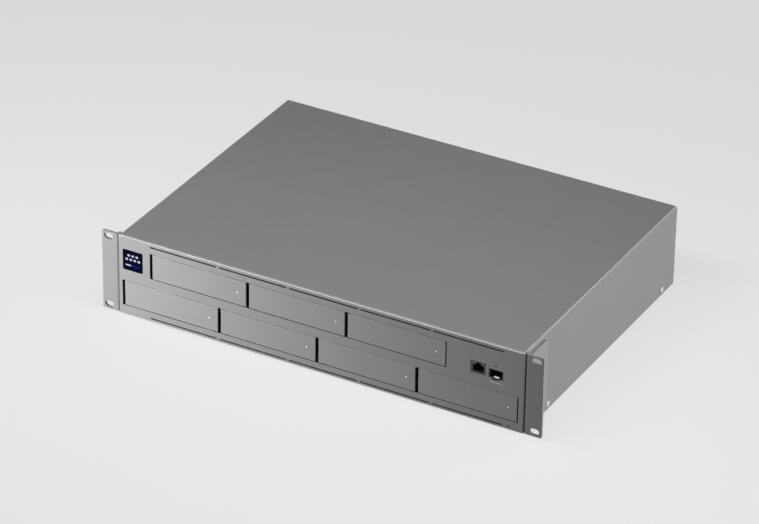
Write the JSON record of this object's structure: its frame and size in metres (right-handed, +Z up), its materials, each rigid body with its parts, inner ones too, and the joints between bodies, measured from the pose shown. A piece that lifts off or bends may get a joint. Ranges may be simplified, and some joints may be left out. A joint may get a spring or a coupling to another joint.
{
  "type": "rack nas enclosure",
  "caption": "Flat rack-mount storage enclosure with hinged-door drive trays in two rows, a small square screen, two network ports, rack ears, rear fans and a mains inlet.",
  "frame": {"origin": "middle of the footprint, on the surface the case rests on", "axes": "+X to the right seen from the front, +Y to the back, +Z up"},
  "size_m": [0.48, 0.325, 0.087],
  "materials": {
    "case_paint": "satin powder coat",
    "bezel_finish": "fine satin grey",
    "door_finish": "fine satin grey",
    "ear_finish": "satin powder coat",
    "tray_steel": "satin dark coat",
    "inner_steel": "zinc-plated sheet",
    "screen_glass": "polished black",
    "black_plastic": "fine moulded grain",
    "plated_shell": "bright plated sheet",
    "lamp_lens": "frosted clear",
    "board": "solder resist",
    "steel": "plated",
    "bare_aluminium": "extruded",
    "supply_case": "plain sheet"
  },
  "bodies": {
    "chassis": {"base_pan": "case_paint", "top_cover": "case_paint", "rear_panel": "case_paint", "front_bezel": "bezel_finish", "lower_shelf": "inner_steel", "middle_shelf": "inner_steel", "lower_dividers": "inner_steel", "upper_dividers": "inner_steel", "display_glass": "screen_glass", "display_module": "black_plastic", "network_jack": "plated_shell", "fibre_cage": "plated_shell", "port_lamp": "lamp_lens", "reset_switch": "black_plastic", "ear_left": "ear_finish", "ear_right": "ear_finish", "backplane_board": "board", "backplane_sockets": "black_plastic", "board_deck": "inner_steel", "main_board": "board", "board_standoffs": "steel", "heat_sink": "bare_aluminium", "power_supply": "supply_case", "ac_inlet": "black_plastic", "fan_frame_left": "black_plastic", "fan_frame_right": "black_plastic", "cover_screws": "steel", "rear_screws": "steel"},
    "tray_1": {"tray_1": "tray_steel", "tray_1_pin": "steel"},
    "door_1": {"tray_1_door": "door_finish", "tray_1_lamp": "lamp_lens"},
    "tray_2": {"tray_2": "tray_steel", "tray_2_pin": "steel"},
    "door_2": {"tray_2_door": "door_finish", "tray_2_lamp": "lamp_lens"},
    "tray_3": {"tray_3": "tray_steel", "tray_3_pin": "steel"},
    "door_3": {"tray_3_door": "door_finish", "tray_3_lamp": "lamp_lens"},
    "tray_4": {"tray_4": "tray_steel", "tray_4_pin": "steel"},
    "door_4": {"tray_4_door": "door_finish", "tray_4_lamp": "lamp_lens"},
    "tray_5": {"tray_5": "tray_steel", "tray_5_pin": "steel"},
    "door_5": {"tray_5_door": "door_finish", "tray_5_lamp": "lamp_lens"},
    "tray_6": {"tray_6": "tray_steel", "tray_6_pin": "steel"},
    "door_6": {"tray_6_door": "door_finish", "tray_6_lamp": "lamp_lens"},
    "tray_7": {"tray_7": "tray_steel", "tray_7_pin": "steel"},
    "door_7": {"tray_7_door": "door_finish", "tray_7_lamp": "lamp_lens"},
    "left_rotor": {"fan_rotor_left": "black_plastic"},
    "right_rotor": {"fan_rotor_right": "black_plastic"},
    "reset": {"reset_button": "black_plastic"}
  },
  "joints": [
    {"name": "tray_1_slide", "type": "slide", "parent": "chassis", "child": "tray_1", "axis": [0, -1, 0], "range_m": [0, 0.165]},
    {"name": "door_1_hinge", "type": "hinge", "parent": "tray_1", "child": "door_1", "pos_m": [-0.1778, -0.1581, 0.0614], "axis": [0, 0, -1], "range_deg": [0, 80]},
    {"name": "tray_2_slide", "type": "slide", "parent": "chassis", "child": "tray_2", "axis": [0, -1, 0], "range_m": [0, 0.165]},
    {"name": "door_2_hinge", "type": "hinge", "parent": "tray_2", "child": "door_2", "pos_m": [-0.06985, -0.1581, 0.0614], "axis": [0, 0, -1], "range_deg": [0, 80]},
    {"name": "tray_3_slide", "type": "slide", "parent": "chassis", "child": "tray_3", "axis": [0, -1, 0], "range_m": [0, 0.165]},
    {"name": "door_3_hinge", "type": "hinge", "parent": "tray_3", "child": "door_3", "pos_m": [0.0381, -0.1581, 0.0614], "axis": [0, 0, -1], "range_deg": [0, 80]},
    {"name": "tray_4_slide", "type": "slide", "parent": "chassis", "child": "tray_4", "axis": [0, -1, 0], "range_m": [0, 0.165]},
    {"name": "door_4_hinge", "type": "hinge", "parent": "tray_4", "child": "door_4", "pos_m": [-0.2093, -0.1581, 0.024], "axis": [0, 0, -1], "range_deg": [0, 80]},
    {"name": "tray_5_slide", "type": "slide", "parent": "chassis", "child": "tray_5", "axis": [0, -1, 0], "range_m": [0, 0.165]},
    {"name": "door_5_hinge", "type": "hinge", "parent": "tray_5", "child": "door_5", "pos_m": [-0.10135, -0.1581, 0.024], "axis": [0, 0, -1], "range_deg": [0, 80]},
    {"name": "tray_6_slide", "type": "slide", "parent": "chassis", "child": "tray_6", "axis": [0, -1, 0], "range_m": [0, 0.165]},
    {"name": "door_6_hinge", "type": "hinge", "parent": "tray_6", "child": "door_6", "pos_m": [0.0066, -0.1581, 0.024], "axis": [0, 0, -1], "range_deg": [0, 80]},
    {"name": "tray_7_slide", "type": "slide", "parent": "chassis", "child": "tray_7", "axis": [0, -1, 0], "range_m": [0, 0.165]},
    {"name": "door_7_hinge", "type": "hinge", "parent": "tray_7", "child": "door_7", "pos_m": [0.11455, -0.1581, 0.024], "axis": [0, 0, -1], "range_deg": [0, 80]},
    {"name": "fan_left_spin", "type": "hinge", "parent": "chassis", "child": "left_rotor", "pos_m": [-0.128, 0.15, 0.0435], "axis": [0, 1, 0], "continuous": true},
    {"name": "fan_right_spin", "type": "hinge", "parent": "chassis", "child": "right_rotor", "pos_m": [-0.044, 0.15, 0.0435], "axis": [0, 1, 0], "continuous": true},
    {"name": "reset_press", "type": "slide", "parent": "chassis", "child": "reset", "axis": [0, 1, 0], "range_m": [0, 0.0005], "stiffness_N_per_m": 800}
  ]
}
